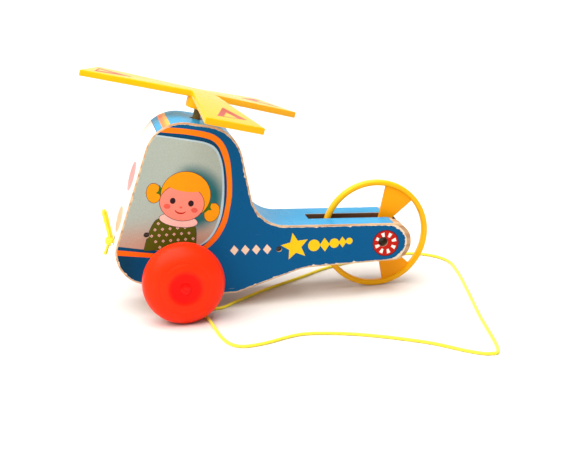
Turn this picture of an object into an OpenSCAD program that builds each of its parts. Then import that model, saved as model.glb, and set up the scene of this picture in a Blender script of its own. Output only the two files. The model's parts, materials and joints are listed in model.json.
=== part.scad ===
// Wooden pull-along toy helicopter.
// X runs from nose to tail, Y across the toy and Z up. The origin is on the floor,
// midway between the front wheels and straight below their axle.

/* [Body outline] */
// How far the nose corner stands ahead of the front axle, before rounding
nose_reach = 50; // [42:1:60]
// Height of the nose corner
nose_z = 33; // [28:1:38]
// Lean of the windscreen from upright, in degrees
screen_lean = 20; // [14:1:24]
// Height of the front corner of the roof, before rounding
cabin_h = 140; // [120:1:170]
// Length of the roof along X, between its corners
roof_len = 55; // [48:1:66]
// Fall of the roof towards the tail, in degrees
roof_slope = 12; // [8:1:15]
// Lean of the cabin's back from upright, in degrees
back_lean = 9.5; // [5:0.5:14]
// Height of the boom's top at the cabin
boom_root_z = 58.6; // [52:0.2:66]
// Height of the boom's top above the tail axle, at the tail's end
boom_above = 12; // [12:0.5:16]
// Depth of the boom's underside below the tail axle
boom_below = 14.5; // [14.5:0.5:18]
// Where the boom's underside starts to fall to the belly
boom_start_x = 88; // [80:1:96]
// Distance of the tail's end behind the front axle
tail_x = 167.2; // [150:0.2:201]
// Height of the flat belly
belly_z = 11.5; // [9:0.5:14]
// Front end of the flat belly
belly_front_x = 3; // [-2:1:10]
// Back end of the flat belly
belly_back_x = 39.5; // [34:0.5:46]

/* [Body rounding] */
// Rounding of the nose
nose_r = 22.5; // [16:0.5:26]
// Rounding of the roof's front corner
roof_front_r = 26; // [18:1:32]
// Rounding of the roof's back corner
roof_back_r = 28; // [18:1:30]
// Hollow rounding where the cabin meets the boom
waist_r = 26; // [18:1:30]
// Rounding of the tail's corners
tail_r = 13; // [9:0.5:13]
// Hollow rounding under the boom
under_r = 40; // [20:1:60]
// Rounding of the belly's corners
belly_r = 6; // [3:1:12]

/* [Boards and paper] */
// Thickness of each side board
side_t = 17.5; // [15:0.5:22]
// Thickness of the core board, which is also the width of the tail slot
core_t = 14; // [13:0.5:18]
// Room ahead of the tail wheel in its slot
slot_room = 10.8; // [4:0.2:14]
// Thickness of the printed paper
paper_t = 0.3; // [0.2:0.05:0.5]
// Bare wood left along the edges of the paper
paper_inset = 0.8; // [0.4:0.1:2]
// Diameter of the pins that hold the boards together
pin_d = 4.2; // [3:0.1:6]
// How deep the pins sit below the body's sides
pin_recess = 1.8; // [0.5:0.1:4]

/* [Front wheels and drive] */
// Diameter of the front wheels
wheel_d = 57; // [47:0.5:69]
// Width of the front wheels
wheel_w = 31; // [26:1:36]
// Thickness of the wheels' walls
wheel_wall = 2; // [1.6:0.1:3]
// Diameter of the hollow in the wheels' outer faces
dish_d = 23; // [18:1:28]
// Depth of that hollow
dish_depth = 1.5; // [0.5:0.1:2.5]
// Diameter of the front axle
axle_d = 4; // [3:0.1:5]
// Thickness of the washers beside the body
washer_t = 2; // [1:0.1:3]
// Diameter of the push-on caps on the axle
cap_d = 7; // [6:0.5:9]
// Diameter of the rubber drive roller
roller_d = 16; // [13:0.5:17]
// Width of the drive roller
roller_w = 4; // [3:0.5:5]
// Distance of the roller's middle from the toy's middle plane
roller_y = 8; // [7:0.5:9]

/* [Rotor] */
// Lean of the rotor shaft towards the tail, in degrees
rotor_tilt = 16; // [12:1:18]
// How far the shaft's line passes ahead of the axle
shaft_ahead = 10.6; // [9:0.2:12]
// Rise of the rotor's top above the roof, along the shaft
rotor_rise = 20; // [16:0.5:40]
// Diameter of the rotor shaft
shaft_d = 5.6; // [4:0.1:7]
// Wall of the bushes that the shaft turns in
bush_wall = 1.45; // [1:0.05:2.5]
// Length of a blade from the shaft to its tip
blade_len = 83; // [66:1:100]
// Width of a blade at its tip
blade_tip_w = 41; // [34:1:50]
// Thickness of the blades
blade_t = 4.5; // [3:0.1:6]
// Distance from the shaft to the notch between two blades
notch_r = 10.2; // [9:0.1:12]
// Fall of the blades towards their tips, in degrees
blade_droop = 3.5; // [0:0.5:5]
// Number of blades
blade_count = 3; // [2:1:4]
// Direction of the first blade at rest, in degrees from the tail
blade_phase = 159; // [0:1:359]
// Diameter of the boss under the blades
boss_d = 19; // [16:0.5:20]
// Length of the boss below the blades
boss_len = 8; // [5:0.5:10]
// Diameter of the friction disc
disc_d = 31; // [30:0.5:33]
// Thickness of the friction disc
disc_t = 3; // [2:0.5:4]
// Length of a shaft bush
bush_len = 10; // [6:1:14]
// Depth of the upper bush below the roof
bush_sink = 9.7; // [2:0.1:14]

/* [Tail wheel] */
// Distance of the tail axle ahead of the tail's end
tail_axle_in = 20.8; // [13:0.2:26]
// Diameter of the tail wheel
tail_wheel_d = 80; // [66:1:96]
// Radial thickness of its ring
ring_t = 4; // [3:0.5:5]
// Width of its ring
ring_w = 6; // [4:0.5:9]
// Angle that each paddle covers, in degrees
paddle_angle = 37; // [24:1:50]
// Thickness of the paddles
paddle_t = 3; // [2:0.5:4]
// Number of paddles
paddle_count = 3; // [2:1:5]
// Direction of the first paddle at rest, in degrees up from the tail
paddle_phase = 57; // [0:1:119]
// Diameter of the tail wheel's hub
hub_d = 14; // [11:0.5:18]
// Diameter of the hole that shows each end of the tail axle
recess_d = 7; // [6:0.5:9]
// Depth of that hole
recess_depth = 4.5; // [2:0.5:7]
// Thickness of the washers beside the tail wheel's hub
tail_washer_t = 0.7; // [0.5:0.1:1]

/* [Cord] */
// Diameter of the pull cord
cord_d = 2; // [1.6:0.1:2.2]
// Diameter of the cord's hole through the nose
cord_hole_d = 5.2; // [5:0.1:6]

/* [Clearances] */
// Radial clearance of a shaft that turns in a hole
run_gap = 0.05; // [0.02:0.01:0.1]
// Gap between faces that pass each other
side_gap = 0.4; // [0.3:0.05:0.8]
// Gap between the roller and the disc it drives
drive_gap = 0.1; // [0.05:0.01:0.3]
// Room round the drive inside the body
drive_room = 1.5; // [1:0.1:2]

/* [Hidden] */
$fn = 64;

// Body
body_t = 2 * side_t + core_t;
axle_z = wheel_d / 2;
tail_axle_x = tail_x - tail_axle_in;
tail_axle_z = tail_wheel_d / 2;
boom_end_z = tail_axle_z + boom_above;
boom_low_z = tail_axle_z - boom_below;
slot_front_x = tail_axle_x - tail_wheel_d / 2 - slot_room;
roof_front_x = (cabin_h - nose_z) * tan(screen_lean) - nose_reach;
roof_back_x = roof_front_x + roof_len;
roof_back_z = cabin_h - roof_len * tan(roof_slope);
waist_x = roof_back_x + (roof_back_z - boom_root_z) * tan(back_lean);
// Corners of the outline and their rounding: x, z, radius, clockwise from the nose
corners = [[-nose_reach, nose_z, nose_r],
           [roof_front_x, cabin_h, roof_front_r],
           [roof_back_x, roof_back_z, roof_back_r],
           [waist_x, boom_root_z, waist_r],
           [tail_x, boom_end_z, tail_r],
           [tail_x, boom_low_z, tail_r],
           [boom_start_x, boom_low_z, under_r],
           [belly_back_x, belly_z, belly_r],
           [belly_front_x, belly_z, belly_r]];
tail_top = 4;    // number of the corner at the tail's top
arc_step = 6;    // degrees between the points of a rounding

// Front wheels
wheel_in_y = body_t / 2 + paper_t + side_gap + washer_t;   // inner end of the wheel's hub
hub_lip = 1.2;                                             // how far that hub stands out
wheel_y = wheel_in_y + hub_lip + wheel_w / 2;
balloon = 2.4;                                             // exponent of the wheel's section
wheel_hub_r = axle_d / 2 + 4;
cap_t = 1.6;
axle_end_y = wheel_y + wheel_w / 2 - dish_depth + cap_t / 2;

// Drive, measured along the leaning shaft from the axle
disc_z = roller_d / 2 + drive_gap;
disc_boss_d = 12;
disc_boss_len = 8;
drive_top_z = disc_z + disc_t + disc_boss_len + drive_room;
pocket_half_w = disc_d / 2 + drive_room;
lower_bush_z = drive_top_z + 2;
// where the shaft's line meets the roof
roof_at = (cabin_h + (shaft_ahead * cos(rotor_tilt) + roof_front_x) * tan(roof_slope) - axle_z
           - shaft_ahead * sin(rotor_tilt)) / (cos(rotor_tilt) + sin(rotor_tilt) * tan(roof_slope));
roof_bush_z = roof_at - bush_sink - bush_len;
rotor_top = roof_at + rotor_rise;
shaft_top_z = rotor_top - blade_t;
shaft_hole_d = shaft_d + 2 * bush_wall;
blade_start = 3;    // the blades start this far from the shaft, inside the hub
hub_extra = 1;      // the hub is this much wider than the notches, and thicker than the blades

// Pins and nail
pin_places = [[-22, 59], [70.5, 41]];
nail_x = tail_x - 9;
nail_y = core_t / 2 + 2.8;
nail_len = 12;
nail_d = 1.6;

// Tail wheel
tail_hub_w = core_t - 2 * (tail_washer_t + side_gap);
tail_axle_len = body_t - 2 * recess_depth;

// Cord hole, from its mouth in the nose to its mouth under the nose
cord_in = [-43, 0, 49.5];
cord_out = [-20, 0, 20.7];
strand_y = 1.15;    // the two strands lie this far from the middle plane
floor_z = cord_d / 2 + 0.05;    // height of the cord's middle on the floor
// Route of the cord: through the nose, over the floor round the tail and back through the nose
cord_route = [[-44.4, strand_y, 50.6], [-20, strand_y, 20.7], [-15, 0.5, 13.5], [-9, -4, 5.5],
              [-2, -11, floor_z], [10, -20, floor_z], [26, -25, floor_z], [39, -14.5, floor_z],
              [53, -2.5, floor_z], [66, 8, floor_z], [97, 29.5, floor_z], [119, 45.5, floor_z],
              [142, 55.5, floor_z],
              [167, 59, floor_z], [190, 64.5, floor_z], [206, 55, floor_z], [215, 36, floor_z],
              [213, 5, floor_z], [205, -44, floor_z], [197, -90, floor_z], [188, -149, floor_z],
              [180, -157, floor_z], [168, -149, floor_z], [148, -128, floor_z],
              [116, -106, floor_z], [91, -95, floor_z], [70, -92, floor_z], [44, -102, floor_z],
              [28, -102, floor_z], [20, -85, floor_z], [15.5, -44, floor_z], [9, -27, floor_z],
              [-2, -14, floor_z], [-10, -6.5, 5.5], [-15.5, -3, 13], [-20, -strand_y, 20.7],
              [-44.4, -strand_y, 50.6]];
cord_sides = 8;
cord_steps = 2;     // rings in each stretch between two points of the route
// Middle of the knot in front of the nose
knot_at = [-46.5, 0, 50];
// The bow that stands up from the knot, half turned to the toy, and the short end below it
bow_route = [[-46.4, -0.8, 51.5], [-47.8, -0.85, 59.8], [-49, -0.9, 66.5], [-49.7, -0.8, 70.9],
             [-49.2, 0, 72.8], [-48.1, 0.8, 71.1], [-47.2, 0.9, 66.9], [-46.2, 0.85, 60],
             [-44.8, 0.8, 51.7]];
bow_flat = unit([0.697, -0.707, 0.123]);    // the loop's flat side faces this way
end_route = [[-47.4, 0, 48.9], [-49.2, 0, 44], [-50.8, 0, 40.2]];

// Points of one rounded corner, with the outline grown by d
function corner_points(i, d) =
    let (n = len(corners),
         a = corners[(i + n - 1) % n], b = corners[i], c = corners[(i + 1) % n],
         p = [b[0], b[1]], r = b[2],
         u = unit([a[0], a[1]] - p), w = unit([c[0], c[1]] - p),
         half = acos(u * w) / 2,
         convex = cross(u, w) > 0,
         mid = p + unit(u + w) * r / sin(half),
         first = p + u * r / tan(half) - mid,
         start = atan2(first[1], first[0]),
         turn = (convex ? -1 : 1) * (180 - 2 * half),
         reach = r + (convex ? d : -d),
         steps = max(2, ceil(abs(turn) / arc_step)))
    [for (k = [0 : steps]) mid + reach * [cos(start + turn * k / steps),
                                          sin(start + turn * k / steps)]];
function unit(v) = v / norm(v);
function outline(d = 0) = [for (i = [0 : len(corners) - 1]) each corner_points(i, d)];
// The part of the outline that the edge paper covers
function papered(d) = [each [for (i = [0 : tail_top - 1]) each corner_points(i, d)],
                       corner_points(tail_top, d)[0]];
function reversed(v) = [for (i = [len(v) - 1 : -1 : 0]) v[i]];

// A solid between two planes across the toy, from a flat shape in X and Z
module across(y0, y1) {
    translate([0, y1, 0]) rotate([90, 0, 0]) linear_extrude(y1 - y0) children();
}
// A round bar across the toy
module bar(d, y0, y1, x = 0, z = 0) {
    translate([x, y1, z]) rotate([90, 0, 0]) cylinder(d = d, h = y1 - y0);
}
// The leaning frame of the rotor shaft: Z along the shaft, X = -shaft_ahead on its line
module leaning() {
    translate([0, 0, axle_z]) rotate([0, rotor_tilt, 0]) children();
}
module on_shaft() {
    leaning() translate([-shaft_ahead, 0, 0]) children();
}
// A round bar from one point to another in the middle plane
module rod_between(a, b, d, extra = 0) {
    v = b - a;
    translate(a) rotate([0, atan2(v[0], v[2]), 0])
        translate([0, 0, -extra]) cylinder(d = d, h = norm(v) + 2 * extra);
}

// Room for the drive inside the boards
module drive_space() {
    leaning() {
        across(-pocket_half_w, pocket_half_w) union() {
            roller_room = roller_d / 2 + drive_room;
            translate([-roller_room, -roller_room])
                square([2 * roller_room, roller_room + disc_z]);
            translate([-shaft_ahead - pocket_half_w, disc_z - drive_room])
                square([2 * pocket_half_w, disc_t + 2 * drive_room]);
            translate([-shaft_ahead - disc_boss_d / 2 - drive_room, disc_z])
                square([disc_boss_d + 2 * drive_room, drive_top_z - disc_z]);
        }
    }
}
module pin_bores(y0, y1) {
    for (p = pin_places) bar(pin_d, y0, y1, p[0], p[1]);
}

module side_board(side) {
    inner = side * core_t / 2;
    outer = side * body_t / 2;
    low = min(inner, outer);
    high = max(inner, outer);
    sink = side * (body_t / 2 - recess_depth);
    difference() {
        across(low, high) polygon(outline());
        drive_space();
        pin_bores(low - 1, high + 1);
        bar(axle_d + 2 * run_gap, low - 1, high + 1, 0, axle_z);
        bar(axle_d, low - 1, high + 1, tail_axle_x, tail_axle_z);
        bar(recess_d, min(sink, outer + side), max(sink, outer + side), tail_axle_x, tail_axle_z);
        if (side < 0) nail_bore();
    }
}
module nail_bore() {
    translate([nail_x, -nail_y, 0]) cylinder(d = nail_d, h = 100, $fn = 24);
}
module near_side_board() {
    color("burlywood") side_board(-1);
}
module far_side_board() {
    color("burlywood") side_board(1);
}
module core_board() {
    color("tan") difference() {
        intersection() {
            across(-core_t / 2, core_t / 2) polygon(outline());
            translate([slot_front_x - 300, -core_t, 0]) cube([300, 2 * core_t, 300]);
        }
        drive_space();
        pin_bores(-core_t, core_t);
        on_shaft() cylinder(d = shaft_hole_d, h = rotor_top);
        rod_between(cord_in, cord_out, cord_hole_d, 12);
    }
}

module side_print(side) {
    face = side * body_t / 2;
    low = min(face, face + side * paper_t);
    difference() {
        across(low, low + paper_t) polygon(outline(-paper_inset));
        pin_bores(low - 1, low + 1);
        bar(axle_d + 2, low - 1, low + 1, 0, axle_z);
        bar(recess_d, low - 1, low + 1, tail_axle_x, tail_axle_z);
    }
}
module near_side_print() {
    color("steelblue") side_print(-1);
}
module far_side_print() {
    color("steelblue") side_print(1);
}
module edge_print() {
    half = body_t / 2 - paper_inset;
    color("lightskyblue") difference() {
        across(-half, half) polygon([each papered(paper_t), each reversed(papered(0))]);
        // the tail slot shows through the paper
        translate([slot_front_x, -core_t / 2, boom_low_z]) cube([100, core_t, 60]);
        on_shaft() cylinder(d = shaft_hole_d, h = rotor_top);
        rod_between(cord_in, cord_out, cord_hole_d, 12);
    }
}
module assembly_pins() {
    half = body_t / 2 - pin_recess;
    color("dimgray") pin_bores(-half, half);
}

module front_axle() {
    color("silver") bar(axle_d, -axle_end_y, axle_end_y, 0, axle_z);
}
// One side of the wheel's round section, from the axle out: r and y
function balloon_points(r, w, from) =
    [for (a = [-90 : 7.5 : 90])
        let (x = r * pow(cos(a), 2 / balloon), y = sign(a) * w / 2 * pow(abs(sin(a)), 2 / balloon))
        if (x >= from) [x, y]];
// A hollow wheel about the Z axis, with its outer face up
module hollow_wheel() {
    half = wheel_w / 2;
    rotate_extrude($fn = 96) difference() {
        union() {
            polygon([[axle_d / 2, -half], [wheel_hub_r, -half],
                     each balloon_points(wheel_d / 2, wheel_w, wheel_hub_r),
                     [wheel_hub_r, half], [axle_d / 2, half]]);
            translate([axle_d / 2, -half - hub_lip]) square([wheel_hub_r - axle_d / 2, 2 * hub_lip]);
        }
        translate([0, half - dish_depth]) square([dish_d / 2, 2 * dish_depth]);
        polygon([[wheel_hub_r + 1, wheel_wall + dish_depth - half],
                 each balloon_points(wheel_d / 2 - wheel_wall,
                                     wheel_w - 2 * (wheel_wall + dish_depth), wheel_hub_r + 1),
                 [wheel_hub_r + 1, half - wheel_wall - dish_depth]]);
    }
}
module near_wheel() {
    color("orangered") translate([0, -wheel_y, axle_z]) rotate([90, 0, 0]) hollow_wheel();
}
module far_wheel() {
    color("orangered") translate([0, wheel_y, axle_z]) rotate([-90, 0, 0]) hollow_wheel();
}
module axle_washers() {
    color("gainsboro") for (side = [-1, 1]) {
        low = side < 0 ? -wheel_in_y : wheel_in_y - washer_t;
        difference() {
            bar(2 * wheel_hub_r, low, low + washer_t, 0, axle_z);
            bar(axle_d, low - 1, low + washer_t + 1, 0, axle_z);
        }
    }
}
module wheel_caps() {
    seat = wheel_y + wheel_w / 2 - dish_depth;
    color("firebrick") for (side = [-1, 1]) {
        low = side < 0 ? -seat - cap_t : seat;
        difference() {
            bar(cap_d, low, low + cap_t, 0, axle_z);
            bar(axle_d, -axle_end_y, axle_end_y, 0, axle_z);
        }
    }
}
module drive_roller() {
    low = roller_y - roller_w / 2;
    color("dimgray") difference() {
        bar(roller_d, low, low + roller_w, 0, axle_z);
        bar(axle_d, low - 1, low + roller_w + 1, 0, axle_z);
    }
}

module friction_disc() {
    color("dimgray") on_shaft() difference() {
        union() {
            translate([0, 0, disc_z]) cylinder(d = disc_d, h = disc_t);
            translate([0, 0, disc_z]) cylinder(d = disc_boss_d, h = disc_t + disc_boss_len);
        }
        cylinder(d = shaft_d, h = drive_top_z + 10);
    }
}
module rotor_shaft() {
    color("olive") on_shaft() translate([0, 0, disc_z]) cylinder(d = shaft_d, h = shaft_top_z - disc_z);
}
module bush(z) {
    on_shaft() translate([0, 0, z]) difference() {
        cylinder(d = shaft_hole_d, h = bush_len);
        translate([0, 0, -1]) cylinder(d = shaft_d + 2 * run_gap, h = bush_len + 2);
    }
}
module lower_bush() {
    color("darkgoldenrod") bush(lower_bush_z);
}
module roof_bush() {
    color("darkgoldenrod") bush(roof_bush_z);
}
// A flat blade that widens to its tip, with its top edge falling from the shaft
module blade() {
    root_half_w = notch_r * sin(180 / blade_count);
    rotate([0, blade_droop, 0]) translate([0, 0, -blade_t]) linear_extrude(blade_t)
        polygon([[blade_start, root_half_w], [blade_len, blade_tip_w / 2],
                 [blade_len, -blade_tip_w / 2], [blade_start, -root_half_w]]);
}
module rotor() {
    color("gold") on_shaft() translate([0, 0, rotor_top]) difference() {
        union() {
            for (i = [0 : blade_count - 1]) rotate([0, 0, blade_phase + i * 360 / blade_count]) blade();
            translate([0, 0, -blade_t - hub_extra]) cylinder(r = notch_r + hub_extra, h = blade_t + hub_extra);
            translate([0, 0, -blade_t - boss_len]) cylinder(d = boss_d, h = boss_len);
        }
        translate([0, 0, -blade_t - boss_len - 1]) cylinder(d = shaft_d, h = boss_len + 1);
    }
}

module paddle() {
    half = paddle_angle / 2;
    reach = tail_wheel_d / 2 - ring_t / 2;
    linear_extrude(paddle_t, center = true)
        polygon([[0, 0], for (a = [-half : half / 6 : half]) reach * [cos(a), sin(a)]]);
}
module tail_wheel() {
    outer = tail_wheel_d / 2;
    soft = min(ring_t, ring_w) / 4;    // corner of the ring's section
    color("gold") translate([tail_axle_x, 0, tail_axle_z]) rotate([90, 0, 0]) difference() {
        union() {
            rotate_extrude($fn = 120) translate([outer - ring_t, -ring_w / 2])
                polygon([[soft, 0], [ring_t - soft, 0], [ring_t, soft], [ring_t, ring_w - soft],
                         [ring_t - soft, ring_w], [soft, ring_w], [0, ring_w - soft], [0, soft]]);
            for (i = [0 : paddle_count - 1]) rotate([0, 0, paddle_phase + i * 360 / paddle_count]) paddle();
            cylinder(d = hub_d, h = tail_hub_w, center = true);
        }
        cylinder(d = axle_d + 2 * run_gap, h = core_t, center = true);
    }
}
module tail_axle() {
    color("silver") bar(axle_d, -tail_axle_len / 2, tail_axle_len / 2, tail_axle_x, tail_axle_z);
}
module tail_washers() {
    color("silver") for (low = [-core_t / 2, core_t / 2 - tail_washer_t]) difference() {
        bar(axle_d + 5, low, low + tail_washer_t, tail_axle_x, tail_axle_z);
        bar(axle_d, low - 1, low + 2, tail_axle_x, tail_axle_z);
    }
}
// Height of the boom's top at x
function boom_top(x) = boom_root_z + (x - waist_x) * (boom_end_z - boom_root_z) / (tail_x - waist_x);
module tail_nail() {
    top = boom_top(nail_x);
    color("dimgray") translate([nail_x, -nail_y, top - nail_len]) cylinder(d = nail_d, h = nail_len, $fn = 24);
}

// A tube of the cord's thickness along a list of points
function smooth(p, t, i) =
    let (n = len(p), a = p[max(i - 1, 0)], b = p[i], c = p[i + 1], d = p[min(i + 2, n - 1)])
    0.5 * (2 * b + (c - a) * t + (2 * a - 5 * b + 4 * c - d) * t * t
           + (3 * b - a - 3 * c + d) * t * t * t);
function smooth_path(p, steps) =
    [for (i = [0 : len(p) - 2], k = [0 : steps - 1]) smooth(p, k / steps, i), p[len(p) - 1]];
// Sideways direction that stays level wherever the tube isn't upright
function level(v) = norm([v[0], v[1]]) > 0.02 ? unit([-v[1], v[0], 0]) : [0, 1, 0];
function heading(p, i) = unit(p[min(i + 1, len(p) - 1)] - p[max(i - 1, 0)]);
module tube(path, d, sides, beside = undef) {
    rings = len(path);
    points = [for (i = [0 : rings - 1])
        let (f = heading(path, i), s = is_undef(beside) ? level(f) : beside, u = cross(f, s))
        for (k = [0 : sides - 1])
            let (a = 360 * (k + 0.5) / sides) path[i] + d / 2 * (cos(a) * s + sin(a) * u)];
    walls = [for (i = [0 : rings - 2], k = [0 : sides - 1])
        [i * sides + k, (i + 1) * sides + k, (i + 1) * sides + (k + 1) % sides, i * sides + (k + 1) % sides]];
    polyhedron(points = points, convexity = 10,
               faces = [each walls, [for (k = [0 : sides - 1]) k],
                        [for (k = [sides - 1 : -1 : 0]) (rings - 1) * sides + k]]);
}
module pull_cord() {
    path = [for (p = smooth_path(cord_route, cord_steps)) [p[0], p[1], max(p[2], floor_z)]];
    color("yellow") tube(path, cord_d, cord_sides);
}
module cord_knot() {
    color("yellow") translate(knot_at) rotate([0, 100, 0]) rotate_extrude($fn = 24)
        polygon([for (a = [-90 : 15 : 90]) [2.2 * cos(a), 2.9 * sin(a)]]);
}
module cord_bow() {
    color("yellow") tube(bow_route, cord_d, cord_sides, bow_flat);
}
module cord_end() {
    color("yellow") tube(end_route, cord_d, cord_sides, [0, 1, 0]);
}

near_side_board();
core_board();
far_side_board();
near_side_print();
far_side_print();
edge_print();
assembly_pins();
front_axle();
near_wheel();
far_wheel();
axle_washers();
wheel_caps();
drive_roller();
friction_disc();
rotor_shaft();
lower_bush();
roof_bush();
rotor();
tail_wheel();
tail_axle();
tail_washers();
tail_nail();
pull_cord();
cord_knot();
cord_bow();
cord_end();
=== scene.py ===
import json
import math
import random

import bmesh
import bpy
from mathutils import Matrix, Vector
from mathutils.geometry import delaunay_2d_cdt


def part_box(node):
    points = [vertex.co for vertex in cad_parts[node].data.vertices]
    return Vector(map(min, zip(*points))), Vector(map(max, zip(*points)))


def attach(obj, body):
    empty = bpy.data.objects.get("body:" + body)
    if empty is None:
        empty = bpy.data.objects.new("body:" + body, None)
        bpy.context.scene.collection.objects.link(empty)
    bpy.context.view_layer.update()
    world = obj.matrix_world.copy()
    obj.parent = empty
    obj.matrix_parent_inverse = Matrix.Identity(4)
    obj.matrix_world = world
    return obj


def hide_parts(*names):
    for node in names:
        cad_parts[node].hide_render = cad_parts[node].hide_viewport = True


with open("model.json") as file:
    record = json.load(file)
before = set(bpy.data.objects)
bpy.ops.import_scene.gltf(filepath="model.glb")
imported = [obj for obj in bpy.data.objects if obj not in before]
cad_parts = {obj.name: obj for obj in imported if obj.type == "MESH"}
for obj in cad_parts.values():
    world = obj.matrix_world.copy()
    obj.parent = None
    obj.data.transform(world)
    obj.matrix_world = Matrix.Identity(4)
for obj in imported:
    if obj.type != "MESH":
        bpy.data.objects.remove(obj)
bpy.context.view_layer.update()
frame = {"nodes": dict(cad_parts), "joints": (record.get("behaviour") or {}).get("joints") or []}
joints = {joint["name"]: joint for joint in frame["joints"]}
frontAxle = Vector(joints["front_spin"]["pos_m"])
tailAxle = Vector(joints["tail_spin"]["pos_m"])
shaftFoot = Vector(joints["rotor_spin"]["pos_m"])
shaftLine = Vector(joints["rotor_spin"]["axis"]).normalized()
mm = 0.001
print("frame loaded:", len(frame["nodes"]), "nodes")


def addObject(name, data):
    made = bpy.data.objects.new(name, data)
    bpy.context.scene.collection.objects.link(made)
    return made


# camera and light

cameraView = {"place": (-0.07214, -0.84842, 0.29167), "azimuth": -10.152, "elevation": 15.582,
              "roll": -1.884, "lens": 77.89}


def makeCamera(view):
    azimuth, elevation, roll = (math.radians(view[key]) for key in ("azimuth", "elevation", "roll"))
    back = Vector((math.sin(azimuth) * math.cos(elevation),
                   -math.cos(azimuth) * math.cos(elevation), math.sin(elevation)))
    level = Vector((math.cos(azimuth), math.sin(azimuth), 0))
    upright = back.cross(level)
    right = level * math.cos(roll) + upright * math.sin(roll)
    up = upright * math.cos(roll) - level * math.sin(roll)
    camera = addObject("camera", bpy.data.cameras.new("camera"))
    camera.data.lens = view["lens"]
    camera.data.sensor_width = 36
    camera.data.clip_start, camera.data.clip_end = 0.01, 60
    camera.matrix_world = Matrix.Translation(view["place"]) @ Matrix((right, up, back)).transposed().to_4x4()
    bpy.context.scene.camera = camera


makeCamera(cameraView)

lighting = {
    # a very soft light from above that whitens the floor, a weak panel from the left and a
    # wide one far behind, which the upper faces mirror
    "overhead": {"lean": (-14, -10), "strength": 5.2, "spread": 75},
    "sidePanel": {"place": (-1.2, -0.8, 0.8), "aim": (0, 0, 0.07), "size": (0.7, 0.7), "power": 3.0},
    "backPanel": {"place": (-0.4, 3.2, 0.95), "aim": (0, 0, 0.1), "size": (4.5, 1.7), "power": 22.0},
    "room": 0.42,
}


def makeLight():
    wanted = lighting["overhead"]
    sun = bpy.data.lights.new("overhead", "SUN")
    sun.energy, sun.angle = wanted["strength"], math.radians(wanted["spread"])
    leanX, leanY = (math.radians(lean) for lean in wanted["lean"])
    addObject("overhead", sun).rotation_euler = (-leanY, leanX, 0)
    for name in ("sidePanel", "backPanel"):
        wanted = lighting[name]
        lamp = bpy.data.lights.new(name, "AREA")
        lamp.shape, (lamp.size, lamp.size_y), lamp.energy = "RECTANGLE", wanted["size"], wanted["power"]
        panel = addObject(name, lamp)
        panel.location = wanted["place"]
        away = Vector(wanted["place"]) - Vector(wanted["aim"])
        panel.rotation_euler = away.to_track_quat("Z", "Y").to_euler()
    world = bpy.data.worlds.new("softRoom")
    world.use_nodes = True
    background = world.node_tree.nodes["Background"]
    background.inputs["Color"].default_value = (1, 1, 1, 1)
    background.inputs["Strength"].default_value = lighting["room"]
    bpy.context.scene.world = world
    bpy.context.scene.view_settings.view_transform = "Standard"


makeLight()
print("camera and light ready")


# shared shader groups

def addNode(tree, kind, values=None, **settings):
    node = tree.nodes.new(kind)
    for key, value in settings.items():
        setattr(node, key, value)
    for key, value in (values or {}).items():
        node.inputs[key].default_value = value
    return node


def newGroup(name, inputs, outputs):
    group = bpy.data.node_groups.new(name, "ShaderNodeTree")
    for socket, kind, value in inputs:
        made = group.interface.new_socket(socket, in_out="INPUT", socket_type=kind)
        made.default_value = value
    for socket, kind in outputs:
        group.interface.new_socket(socket, in_out="OUTPUT", socket_type=kind)
    return group, group.nodes.new("NodeGroupInput"), group.nodes.new("NodeGroupOutput")


colourKind, floatKind = "NodeSocketColor", "NodeSocketFloat"
surfaceOutputs = [("Color", colourKind), ("Roughness", floatKind), ("Height", floatKind)]


def noiseOn(tree, coordinates, scale, detail=3.0, roughness=0.55, stretch=None):
    # a noise value on object coordinates, stretched along an axis when asked
    if stretch:
        mapping = addNode(tree, "ShaderNodeMapping", {"Scale": stretch})
        tree.links.new(coordinates, mapping.inputs["Vector"])
        coordinates = mapping.outputs["Vector"]
    noise = addNode(tree, "ShaderNodeTexNoise", {"Scale": scale, "Detail": detail, "Roughness": roughness})
    tree.links.new(coordinates, noise.inputs["Vector"])
    return noise.outputs["Fac"]


def remapped(tree, value, low, high, toLow=0.0, toHigh=1.0, smooth=False):
    node = addNode(tree, "ShaderNodeMapRange", {"From Min": low, "From Max": high,
                                                "To Min": toLow, "To Max": toHigh},
                   interpolation_type="SMOOTHSTEP" if smooth else "LINEAR")
    tree.links.new(value, node.inputs["Value"])
    return node.outputs["Result"]


def mixed(tree, factor, first, second, blend="MIX"):
    node = addNode(tree, "ShaderNodeMix", data_type="RGBA", blend_type=blend)
    for socket, value in ((0, factor), (6, first), (7, second)):
        if isinstance(value, (int, float, tuple)):
            node.inputs[socket].default_value = value
        else:
            tree.links.new(value, node.inputs[socket])
    return node.outputs[2]


def calculated(tree, operation, first, second=None):
    node = addNode(tree, "ShaderNodeMath", operation=operation)
    for socket, value in enumerate((first, second)):
        if isinstance(value, (int, float)):
            node.inputs[socket].default_value = value
        elif value is not None:
            tree.links.new(value, node.inputs[socket])
    return node.outputs[0]


def objectPlace(tree):
    return addNode(tree, "ShaderNodeTexCoord").outputs["Object"]


def axesOf(tree, coordinates):
    axes = addNode(tree, "ShaderNodeSeparateXYZ")
    tree.links.new(coordinates, axes.inputs[0])
    return axes.outputs


def distanceFrom(tree, axes, x, z):
    # how far a point is from an axis that runs across the toy
    away = [calculated(tree, "POWER", calculated(tree, "SUBTRACT", axes[name], value), 2.0)
            for name, value in (("X", x), ("Z", z))]
    return calculated(tree, "SQRT", calculated(tree, "ADD", away[0], away[1]))


def putOut(group, out, colour, roughness, height):
    for name, value in (("Color", colour), ("Roughness", roughness), ("Height", height)):
        group.links.new(value, out.inputs[name])
    return group


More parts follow.
